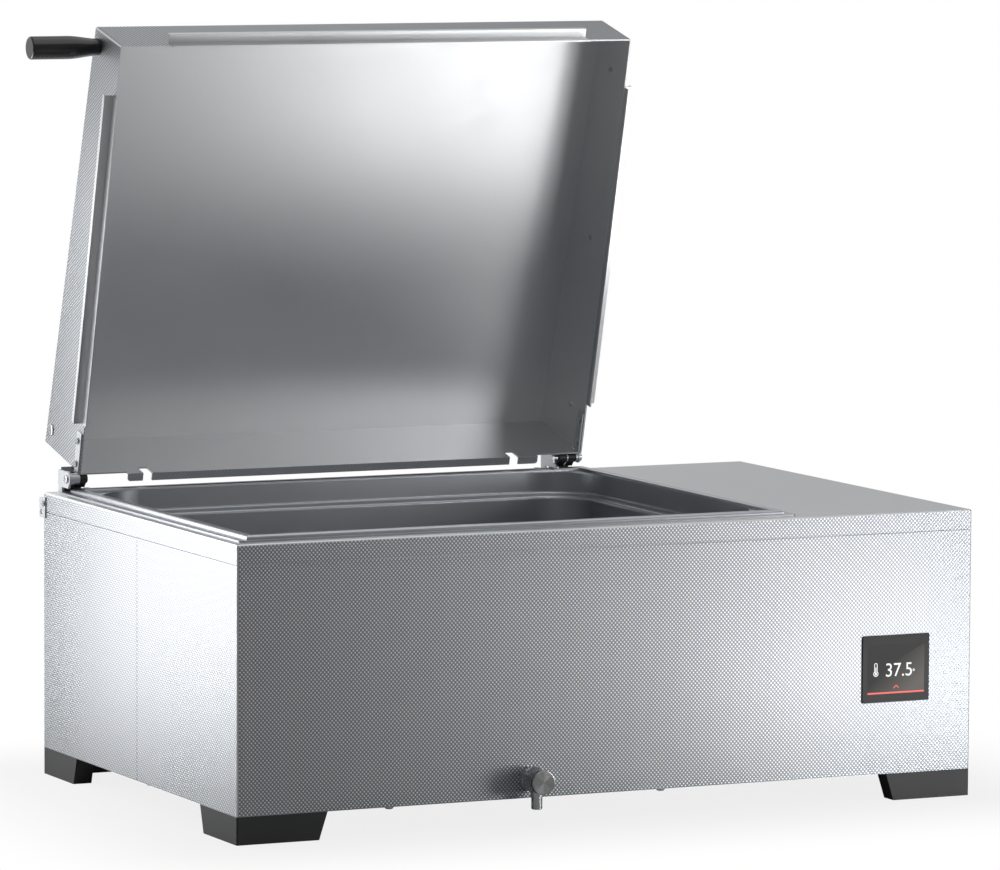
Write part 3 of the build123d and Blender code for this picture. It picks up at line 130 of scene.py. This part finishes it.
class Finish:
    """A material whose nodes are made from Python expressions."""

    def __init__(self, name, **sockets):
        self.material = bpy.data.materials.new(name)
        self.material.use_nodes = True
        self.tree = self.material.node_tree
        self.shader = self.tree.nodes["Principled BSDF"]
        self.feed(self.shader, sockets)

    def feed(self, node, inputs):
        """Gives a node's sockets their values or links, by name or in order."""
        pairs = inputs.items() if isinstance(inputs, dict) else enumerate(inputs)
        for key, value in pairs:
            socket = node.inputs[key]
            if isinstance(value, Number):
                self.tree.links.new(value.socket, socket)
            elif socket.type == "RGBA" and len(value) == 3:
                socket.default_value = (*value, 1)
            else:
                socket.default_value = value

    def node(self, kind, settings=(), inputs=(), output=0):
        """Makes one node and returns one of its outputs."""
        made = self.tree.nodes.new(kind)
        for key, value in dict(settings).items():
            setattr(made, key, value)
        self.feed(made, inputs)
        return Number(self, made.outputs[output])

    def split(self, vector):
        """The three numbers of a vector."""
        made = self.tree.nodes.new("ShaderNodeSeparateXYZ")
        self.feed(made, [vector])
        return [Number(self, made.outputs[axis]) for axis in range(3)]

    def join(self, x, y, z):
        return self.node("ShaderNodeCombineXYZ", (), [x, y, z])

    def closed(self, vector, centre=(0, 0, 0)):
        """A vector on the open lid, turned back to the lid's closed place."""
        turn = {"rotation_type": "X_AXIS"}
        inputs = {"Vector": vector, "Center": centre, "Angle": lid_open_angle}
        return self.node("ShaderNodeVectorRotate", turn, inputs)

    def place(self, on_lid=False):
        """Object coordinates in millimetres, those of the closed place on the lid."""
        point = self.node("ShaderNodeTexCoord", (), (), "Object")
        if on_lid:
            point = self.closed(point, (0, hinge_y, hinge_z))
        return self.node("ShaderNodeVectorMath", {"operation": "SCALE"}, {0: point, "Scale": 1 / MM})

    def facing(self, on_lid=False):
        """How much a surface faces along each axis, from 0 to 1."""
        normal = self.node("ShaderNodeTexCoord", (), (), "Normal")
        if on_lid:
            normal = self.closed(normal)
        return [abs(part) for part in self.split(normal)]

    def noise(self, vector, scale, detail, stretch=(1, 1, 1)):
        """Soft noise, which can be stretched along an axis."""
        multiply = {"operation": "MULTIPLY"}
        stretched = self.node("ShaderNodeVectorMath", multiply, [vector, stretch])
        inputs = {"Vector": stretched, "Scale": scale, "Detail": detail}
        return self.node("ShaderNodeTexNoise", (), inputs)

    def blend(self, factor, first, second):
        """Colour mix of two colours or links."""
        inputs = {0: factor, 6: first, 7: second}
        return self.node("ShaderNodeMix", {"data_type": "RGBA"}, inputs, 2)

    def bump(self, height, distance):
        """A normal that follows a height, in shares of a distance in metres."""
        inputs = {"Height": height, "Distance": distance, "Strength": 1}
        return self.node("ShaderNodeBump", (), inputs)

    def show(self, **sockets):
        """Feeds the sockets of the surface shader, named with underscores for spaces."""
        self.feed(self.shader, {key.replace("_", " "): value for key, value in sockets.items()})
        return self.material


class Sky(Finish):
    """Node tree of the world."""

    def __init__(self, target):
        self.tree = target.node_tree
        self.shader = self.tree.nodes["Background"]


def darker(color, share):
    """A colour at a share of its brightness."""
    return tuple(value * share for value in color)


# Embossed sheet: staggered dots over the faces, smooth where it is folded; its colour is darker
# between the dots as painted shade
dot_pitch = 4.1
dot_row = 2.2
dot_core = 0.3
dot_reach = 1.35
dot_height = 0.00016
steel = (0.76, 0.77, 0.78)
# Darker steel painted between the dots as shade
steel_painted_shade = (0.22, 0.237, 0.26)
mostly_facing = 0.7
squarely_facing = 0.985
level_fade = 0.75
sheet_cloud_scale = 0.012
sheet_grain_scale = 0.9
sheet_grain_stretch = (0.05, 0.05, 1)
sheet_grain_height = 0.03
sheet_rough = 0.34
sheet_cloud_rough = 0.06
sheet_grain_rough = 0.05

# Plain and brushed sheet
satin_shade = 0.9
satin_grain_scale = 1.6
satin_cloud_scale = 0.01
satin_cloud_rough = 0.08
satin_grain_rough = 0.10

# Moulded plastic and rubber
moulded_shade = 0.75
moulded_cloud_scale = 0.02
moulded_cloud_rough = 0.1
coat_rough = 0.12

# Turned face of the drain knob, with a painted sheen of crossing wedges in its colour
painted_sheen_dark_share = 0.6
turned_rough = 0.22
ring_rough = 0.04
ring_rate = 9
ring_height = 0.00001
front_facing = 0.9
painted_sheen_angle = 2.3
painted_sheen_edge = 0.2
faint_painted_sheen_angle = 4.2
faint_painted_sheen_edge = 0.5
faint_painted_sheen_share = 0.5


def dots(across, along):
    """Staggered rows of raised dots, 1 on a dot and 0 between them."""
    row = along / dot_row
    even_row = (row * 0.5).math("FLOOR") * 2
    odd = (row - even_row) > 1
    u = abs((across / dot_pitch + odd * 0.5).fraction() - 0.5) * dot_pitch
    v = abs(row.fraction() - 0.5) * dot_row
    return 1 - (u * u + v * v).power(0.5).ramp(dot_core, dot_reach)


def outside_of_lid(x, y, z):
    """1 on the outer faces of the lid and 0 on its inner ones."""
    half_sheet = lid_sheet / 2
    slope = (lid_rear_height - lid_front_height) / lid_depth
    top = (y - lid_front_y) * slope + (lid_rim_z + lid_front_height)
    outer = (x < lid_left_x + half_sheet) + (x > lid_right_x - half_sheet)
    outer = outer + (y < lid_front_y + half_sheet) + (y > lid_rear_y - half_sheet)
    outer = outer + (z > top - half_sheet)
    return outer.math("MINIMUM", 1)


def embossed(name, on_lid=False):
    """Stainless sheet with embossed dots on its faces, on the outer ones alone on the lid, with
    painted shade darkening its colour between the dots.
    """
    finish = Finish(name, Metallic=1.0)
    point = finish.place(on_lid)
    x, y, z = finish.split(point)
    face_x, face_y, face_z = finish.facing(on_lid)
    side = face_x > mostly_facing
    level = face_z > mostly_facing
    across = x * (1 - side) + y * side
    along = z * (1 - level) + y * level
    pattern = dots(across, along)
    flat = (face_x > squarely_facing) + (face_y > squarely_facing) + (face_z > squarely_facing)
    dotted = flat.math("MINIMUM", 1) * (1 - level * level_fade)
    if on_lid:
        dotted = dotted * outside_of_lid(x, y, z)
    cloud = finish.noise(point, sheet_cloud_scale, 3)
    grain = finish.noise(point, sheet_grain_scale, 2, sheet_grain_stretch)
    # Painted shade: the base colour falls to the darker steel between the dots
    painted_dot_shade = 1 - dotted * (1 - pattern)
    height = pattern * dotted + grain * sheet_grain_height
    return finish.show(
        Base_Color=finish.blend(painted_dot_shade, steel_painted_shade, steel),
        Roughness=sheet_rough + sheet_cloud_rough * cloud + sheet_grain_rough * grain,
        Normal=finish.bump(height, dot_height),
    )


def satin(name, color, rough, stretch=(1, 1, 1), grain_height=0.00003):
    """Plain or brushed stainless with fine grain along one axis and soft clouding."""
    finish = Finish(name, Metallic=1.0)
    point = finish.place()
    grain = finish.noise(point, satin_grain_scale, 4, stretch)
    cloud = finish.noise(point, satin_cloud_scale, 3)
    return finish.show(
        Base_Color=finish.blend(cloud, darker(color, satin_shade), color),
        Roughness=rough + satin_cloud_rough * cloud + satin_grain_rough * grain,
        Normal=finish.bump(grain, grain_height),
    )


def moulded(name, color, rough, coat=0.0, pebble=0.6, height=0.00004, specular=0.5):
    """Moulded plastic or rubber with a fine pebbled skin."""
    finish = Finish(name, Metallic=0.0)
    finish.show(Coat_Weight=coat, Coat_Roughness=coat_rough, Specular_IOR_Level=specular)
    point = finish.place()
    grain = finish.noise(point, pebble, 3)
    cloud = finish.noise(point, moulded_cloud_scale, 3)
    return finish.show(
        Base_Color=finish.blend(cloud, darker(color, moulded_shade), color),
        Roughness=rough + moulded_cloud_rough * cloud,
        Normal=finish.bump(grain, height),
    )


def turned_face_with_painted_sheen(name, color):
    """Turned steel with fine rings, whose round face has a crossing sheen painted into its colour.
    """
    finish = Finish(name, Metallic=1.0)
    x, _, z = finish.split(finish.place())
    across = x - knob_x
    upward = z - knob_z
    turn = upward.math("ARCTAN2", across) * 2
    # Painted sheen: brighter and fainter wedges around the face's middle, in the base colour
    painted_sheen_main = (turn - painted_sheen_angle).math("COSINE").ramp(painted_sheen_edge, 1.0)
    painted_sheen_faint = (turn - faint_painted_sheen_angle).math("COSINE").ramp(faint_painted_sheen_edge, 1.0)
    painted_sheen = painted_sheen_main + faint_painted_sheen_share * painted_sheen_faint
    radius = (across * across + upward * upward).power(0.5)
    rings = (radius * ring_rate).math("SINE")
    face = finish.facing()[1] > front_facing
    return finish.show(
        Base_Color=finish.blend(painted_sheen * face + (1 - face), darker(color, painted_sheen_dark_share), color),
        Roughness=turned_rough + ring_rough * rings,
        Normal=finish.bump(rings * face, ring_height),
    )


finishes = {
    "casing_sheet": embossed("casing_sheet"),
    "lid_sheet": embossed("lid_sheet", on_lid=True),
    "drawn": satin("drawn_trough_steel", (0.50, 0.52, 0.55), 0.26),
    "plain": satin("plain_sheet", (0.5, 0.51, 0.53), 0.38),
    "rail": satin("rail_steel", (0.80, 0.81, 0.82), 0.26, grain_height=0.000005),
    "bracket": satin("bracket_steel", (0.62, 0.64, 0.66), 0.3),
    "knob": turned_face_with_painted_sheen("knob_steel", (0.70, 0.70, 0.71)),
    "turned": satin("turned_steel", (0.66, 0.67, 0.69), 0.18, stretch=(1, 0.05, 1)),
    "foot": moulded("foot_plastic", (0.022, 0.023, 0.025), 0.5),
    "grip": moulded(
        "grip_plastic", (0.012, 0.012, 0.013), 0.22, coat=0.5, pebble=0.2, height=0.00001
    ),
    "hinge_block": moulded("block_plastic", (0.012, 0.012, 0.013), 0.38),
    "glass": moulded(
        "display_black", (0.004, 0.004, 0.005), 0.16, pebble=0.05, height=0.000001, specular=0.12
    ),
    "dark": moulded("dark_plastic", (0.03, 0.03, 0.032), 0.45),
    "board": moulded("board_lacquer", (0.03, 0.16, 0.07), 0.35, coat=0.4),
    "silicone": moulded("silicone", (0.42, 0.14, 0.08), 0.55),
    "wool": moulded("wool_board", (0.55, 0.47, 0.3), 0.9, pebble=0.25, height=0.0008),
}

node_finish = {
    "front_casing": "casing_sheet",
    "rear_casing": "casing_sheet",
    "top_deck": "casing_sheet",
    "lid_shell": "lid_sheet",
    "trough": "drawn",
    "trough_outlet": "drawn",
    "base_plate": "plain",
    "divider_wall": "plain",
    "drain_knob": "knob",
    "handle_grip": "grip",
    "handle_collar": "foot",
    "display_glass": "glass",
    "insulation_front": "wool",
    "insulation_rear": "wool",
    "insulation_left": "wool",
    "control_board": "board",
    "power_board": "board",
    "drain_hose": "silicone",
}
finish_by_word = [
    ("foot_screws", "turned"),
    ("foot_", "foot"),
    ("hinge_block", "hinge_block"),
    ("lid_rail", "rail"),
    ("bracket_", "bracket"),
    ("hinge_bracket", "bracket"),
    ("hinge_arm_screws", "turned"),
    ("hinge_arm", "bracket"),
    ("corner_clip_screws", "turned"),
    ("corner_clip", "bracket"),
    ("heater", "silicone"),
    ("display_housing", "dark"),
    ("power_", "dark"),
    ("limit_", "dark"),
]


def finish_of(node):
    """Name of the finish that a solid takes."""
    if node in node_finish:
        return node_finish[node]
    for word, name in finish_by_word:
        if node.startswith(word):
            return name
    return "turned"


for node, solid in frame["nodes"].items():
    solid.data.materials.clear()
    solid.data.materials.append(finishes[finish_of(node)])

# Display: screen, number, gauge, bar and arrow on the black glass
glass_low, glass_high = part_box("display_glass")
screen_x = (glass_low[0] + glass_high[0]) / 2
screen_z = (glass_low[2] + glass_high[2]) / 2
screen_y = glass_low[1]

# Painted reflection on the screen under its slanting edge, given as emission colour, in millimetres
# from the middle
painted_reflection_left = 32.7
painted_reflection_drop = 5.1
painted_reflection_slope = 0.455
painted_reflection_edge_width = 1.5
painted_reflection_fade_down = 46
painted_reflection_fade_across = 120
screen_black = (0.004, 0.004, 0.004)
screen_dark = (0.004, 0.0045, 0.0045)
screen_painted_reflection = (0.11, 0.1, 0.09)
mark_unlit = (0.02, 0.02, 0.02)
mark_shade = 0.8
mark_fade = 0.04
mark_fade_length = 40


def on_display(name, mesh, depth, finish):
    """Lays a flat mesh drawn in X and Z millimetres on the glass and gives it its thickness."""
    builder = bmesh.new()
    builder.from_mesh(mesh)
    bmesh.ops.remove_doubles(builder, verts=builder.verts, dist=0.001)
    raised = bmesh.ops.extrude_face_region(builder, geom=builder.faces[:])
    lifted = [item for item in raised["geom"] if isinstance(item, bmesh.types.BMVert)]
    bmesh.ops.translate(builder, verts=lifted, vec=(0, -depth, 0))
    bmesh.ops.scale(builder, verts=builder.verts, vec=(MM, MM, MM))
    bmesh.ops.translate(builder, verts=builder.verts, vec=(screen_x, screen_y, screen_z))
    bmesh.ops.recalc_face_normals(builder, faces=builder.faces)
    builder.to_mesh(mesh)
    builder.free()
    piece = bpy.data.objects.new(name, mesh)
    bpy.context.scene.collection.objects.link(piece)
    mesh.materials.append(finish)
    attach(piece, "base")


def mark(name, outlines, depth, finish):
    """A piece of the display, with one face for each closed outline in X and Z."""
    builder = bmesh.new()
    for outline in outlines:
        builder.faces.new([builder.verts.new((x, 0, z)) for x, z in outline])
    mesh = bpy.data.meshes.new(name)
    builder.to_mesh(mesh)
    builder.free()
    on_display(name, mesh, depth, finish)


def rectangle(left, right, bottom, top):
    """Outline of an upright rectangle."""
    return [(left, bottom), (right, bottom), (right, top), (left, top)]


def around(centre, radius, angle):
    """The point at an angle on a circle."""
    return (centre[0] + radius * math.cos(angle), centre[1] + radius * math.sin(angle))


def stroke(start, end, width):
    """Outline of a line with round ends."""
    end_steps = 6
    run = math.atan2(end[1] - start[1], end[0] - start[0])
    points = []
    for centre, turn in ((end, run - math.pi / 2), (start, run + math.pi / 2)):
        for step in range(end_steps + 1):
            points.append(around(centre, width / 2, turn + math.pi * step / end_steps))
    return points


def ring_outlines(centre, outer, inner, parts, first=0.0, last=2 * math.pi):
    """Short four-sided pieces that make up a ring or an arc of one."""
    outlines = []
    for part in range(parts):
        a = first + (last - first) * part / parts
        b = first + (last - first) * (part + 1) / parts
        corners = ((outer, a), (outer, b), (inner, b), (inner, a))
        outlines.append([around(centre, radius, angle) for radius, angle in corners])
    return outlines


def lit(name, color):
    """Lit mark on the screen with a slight fade from top to bottom."""
    finish = Finish(name, Roughness=0.4)
    finish.show(Base_Color=mark_unlit, Emission_Strength=1.0)
    _, _, z = finish.split(finish.place())
    fade = (z / mark_fade_length).math("SINE") * mark_fade + (1 - mark_fade)
    return finish.show(Emission_Color=finish.blend(fade, darker(color, mark_shade), color))


def screen_with_painted_reflection():
    """Dark screen with a paler lower right half under a slanting edge, a reflection painted into its
    emission colour.
    """
    finish = Finish("screen_picture", Roughness=0.12)
    finish.show(Base_Color=screen_black, Emission_Strength=1.0, Specular_IOR_Level=0.08)
    x, _, z = finish.split(finish.place())
    across = x - screen_x / MM
    upward = z - screen_z / MM
    # Painted reflection: the emission colour turns paler below the slanting edge and fades away from
    # it
    below = (across + painted_reflection_left) * painted_reflection_slope - painted_reflection_drop - upward
    painted_reflection_step = below.ramp(0, painted_reflection_edge_width)
    fade = (below / painted_reflection_fade_down + across / painted_reflection_fade_across).math("MAXIMUM", 0)
    return finish.show(Emission_Color=finish.blend(painted_reflection_step * fade, screen_dark, screen_painted_reflection))


mark_white = lit("mark_white", (0.9, 0.92, 0.92))
mark_red = lit("mark_red", (0.95, 0.07, 0.06))

# Screen and marks, in millimetres from the middle of the glass
screen_half_width = 32.8
screen_top = 24.9
screen_bottom = -24.0
screen_depth = 0.08
screen_outline = rectangle(-screen_half_width, screen_half_width, screen_bottom, screen_top)
mark("screen_face", [screen_outline], screen_depth, screen_with_painted_reflection())

bar_bottom = -25.7
bar_depth = 0.12
bar_outline = rectangle(-screen_half_width, screen_half_width, bar_bottom, screen_bottom)
mark("screen_bar", [bar_outline], bar_depth, mark_red)

mark_depth = 0.16
arrow_peak = (0.3, -17.4)
arrow_left = (-2.4, -20.0)
arrow_right = (3.0, -20.0)
arrow_line = 0.9
arrow = [stroke(arrow_left, arrow_peak, arrow_line), stroke(arrow_peak, arrow_right, arrow_line)]
mark("screen_arrow", arrow, mark_depth, mark_red)

# Gauge: an outlined tube with a round top, a bulb below and a filled core
gauge_x = -23.35
gauge_line = 0.8
tube_half_width = 1.5
tube_bottom = -3.2
tube_top = 4.6
bulb_z = -4.7
bulb_radius = 2.55
bulb_first = math.radians(118)
bulb_last = math.radians(422)
core_top = 1.6
core_bottom = -4.6
core_line = 1.0
core_bulb_bottom = -5.0
core_bulb_line = 2.6
tube_left_x = gauge_x - tube_half_width
tube_right_x = gauge_x + tube_half_width
gauge = [
    stroke((tube_left_x, tube_bottom), (tube_left_x, tube_top), gauge_line),
    stroke((tube_right_x, tube_bottom), (tube_right_x, tube_top), gauge_line),
    stroke((gauge_x, core_bottom), (gauge_x, core_top), core_line),
    stroke((gauge_x, core_bulb_bottom), (gauge_x, core_bottom), core_bulb_line),
]
for height, radius, parts, first, last in (
    (tube_top, tube_half_width, 12, 0.0, math.pi),
    (bulb_z, bulb_radius, 20, bulb_first, bulb_last),
):
    outer = radius + gauge_line / 2
    inner = radius - gauge_line / 2
    gauge += ring_outlines((gauge_x, height), outer, inner, parts, first, last)
mark("screen_gauge", gauge, mark_depth, mark_white)

degree_place = (20.6, -2.6)
degree_outer = 1.25
degree_inner = 0.6
degree = ring_outlines(degree_place, degree_outer, degree_inner, 16)
mark("screen_degree", degree, mark_depth, mark_white)

# Number from the built-in typeface, narrowed to its measured box
number_low_x = -11.55
number_high_x = 18.55
number_low_z = -8.3
number_high_z = 5.5
number_curve = bpy.data.curves.new("screen_number", "FONT")
number_curve.body = "37.5"
number_text = bpy.data.objects.new("number_text", number_curve)
bpy.context.scene.collection.objects.link(number_text)
bpy.context.view_layer.update()
number_mesh = bpy.data.meshes.new_from_object(number_text)
bpy.data.objects.remove(number_text)
xs = [vertex.co.x for vertex in number_mesh.vertices]
ys = [vertex.co.y for vertex in number_mesh.vertices]
widen = (number_high_x - number_low_x) / (max(xs) - min(xs))
heighten = (number_high_z - number_low_z) / (max(ys) - min(ys))
for vertex in number_mesh.vertices:
    x = number_low_x + (vertex.co.x - min(xs)) * widen
    z = number_low_z + (vertex.co.y - min(ys)) * heighten
    vertex.co = (x, 0, z)
on_display("screen_number", number_mesh, mark_depth, mark_white)

# Camera at the photograph's place
forward = Vector((math.sin(camera_yaw), math.cos(camera_yaw), 0)) * math.cos(camera_pitch)
forward.z = -math.sin(camera_pitch)
level_right = Vector((math.cos(camera_yaw), -math.sin(camera_yaw), 0))
level_up = level_right.cross(forward)
right = level_right * math.cos(camera_roll) + level_up * math.sin(camera_roll)
up = level_up * math.cos(camera_roll) - level_right * math.sin(camera_roll)
camera_turn = Matrix((right, up, -forward)).transposed().to_4x4()
camera_data = bpy.data.cameras.new("camera")
camera_data.lens = camera_lens
camera_data.clip_end = camera_reach
camera = bpy.data.objects.new("camera", camera_data)
camera.matrix_world = Matrix.Translation(camera_place) @ camera_turn
bpy.context.scene.collection.objects.link(camera)
bpy.context.scene.camera = camera


def softbox(name, place, target, size, watts):
    """A rectangular lamp that shines at a target and isn't seen by the camera."""
    lamp = bpy.data.lights.new(name, "AREA")
    lamp.shape = "RECTANGLE"
    lamp.size, lamp.size_y = size
    lamp.energy = watts
    holder = bpy.data.objects.new(name, lamp)
    aim = (Vector(target) - Vector(place)).to_track_quat("-Z", "Y")
    holder.matrix_world = Matrix.Translation(place) @ aim.to_matrix().to_4x4()
    holder.visible_camera = False
    bpy.context.scene.collection.objects.link(holder)


# Each lamp's place, the point that it shines at, its width and height, and its power
lamps = {
    "right_panel": ((1.12, -1.3, 0.3), (0.35, -0.26, 0.15), (0.55, 1.0), 8.0),
    "left_panel": ((-0.86, 0.44, 0.25), (-0.41, -0.1, 0.15), (0.42, 0.8), 5.6),
    "low_panel": ((0.55, -0.66, 0.03), (0.05, 0.12, 0.72), (0.32, 0.2), 1.6),
    "top_panel": ((0.2, -0.4, 2.6), (0.0, 0.0, 0.3), (3.6, 2.8), 25),
    "back_panel": ((-0.2, 2.3, 1.3), (0.0, 0.26, 0.2), (2.6, 1.3), 6.5),
}
for name, (place, target, size, watts) in lamps.items():
    softbox(name, place, target, size, watts)

# World: white for the camera, a soft studio for the object
room_light = 0.18
rear_light = 0.28
rear_low_light = 0.16
rear_starts = -0.2
rear_full = 0.8
low_ends = 0.7
world = bpy.data.worlds.new("studio")
world.use_nodes = True
bpy.context.scene.world = world
sky = Sky(world)
_, sky_depth, sky_height = sky.split(sky.node("ShaderNodeTexCoord", (), (), "Generated"))
at_rear = sky_depth.ramp(rear_starts, rear_full)
low_down = 1 - abs(sky_height).ramp(0.0, low_ends)
level_light = room_light + rear_light * at_rear + rear_low_light * low_down * at_rear
seen = sky.node("ShaderNodeLightPath", (), (), "Is Camera Ray")
brightness = level_light * (1 - seen) + seen
sky.feed(sky.shader, {"Color": sky.join(brightness, brightness, brightness), "Strength": 1.0})

# Floor: grey paint that keeps the shadow, shown white to the camera but greyer near the casing as a
# painted shadow, and paler in reflections
floor_size = 30
floor_color = (0.38, 0.38, 0.38)
casing_half_width = 409
casing_half_depth = 258
shadow_reach = 260
white_in_painted_shadow = 0.84
mirrored_white = 0.42
mirrored_starts = 300
mirrored_full = 900
floor_mesh = bpy.data.meshes.new("floor")
builder = bmesh.new()
bmesh.ops.create_grid(builder, x_segments=1, y_segments=1, size=floor_size / 2)
builder.to_mesh(floor_mesh)
builder.free()
floor = bpy.data.objects.new("floor", floor_mesh)
bpy.context.scene.collection.objects.link(floor)
paint = Finish("floor_paint", Roughness=0.9)
floor_mesh.materials.append(paint.show(Base_Color=floor_color, Specular_IOR_Level=0.1))
floor_x, floor_y, _ = paint.split(paint.place())
# Painted shadow: within shadow_reach of the casing the camera sees less white and more of the grey
# paint, whose real shadow shows through
beside = (abs(floor_x) - casing_half_width).math("MAXIMUM", 0)
before = (abs(floor_y) - casing_half_depth).math("MAXIMUM", 0)
clear = (beside * beside + before * before).power(0.5)
white_with_painted_shadow = white_in_painted_shadow + (1 - white_in_painted_shadow) * clear.ramp(0, shadow_reach)
mirrored = mirrored_white * floor_y.ramp(mirrored_starts, mirrored_full)
camera_ray = paint.node("ShaderNodeLightPath", (), (), "Is Camera Ray")
glossy_ray = paint.node("ShaderNodeLightPath", (), (), "Is Glossy Ray")
painted = Number(paint, paint.shader.outputs[0])
glow = paint.node("ShaderNodeEmission", (), {"Color": (1, 1, 1), "Strength": 1.0})
shown = camera_ray * white_with_painted_shadow + glossy_ray * mirrored
mixed = paint.node("ShaderNodeMixShader", (), [shown, painted, glow])
surface = paint.tree.nodes["Material Output"].inputs["Surface"]
paint.tree.links.new(mixed.socket, surface)

bpy.context.scene.view_settings.view_transform = "Standard"
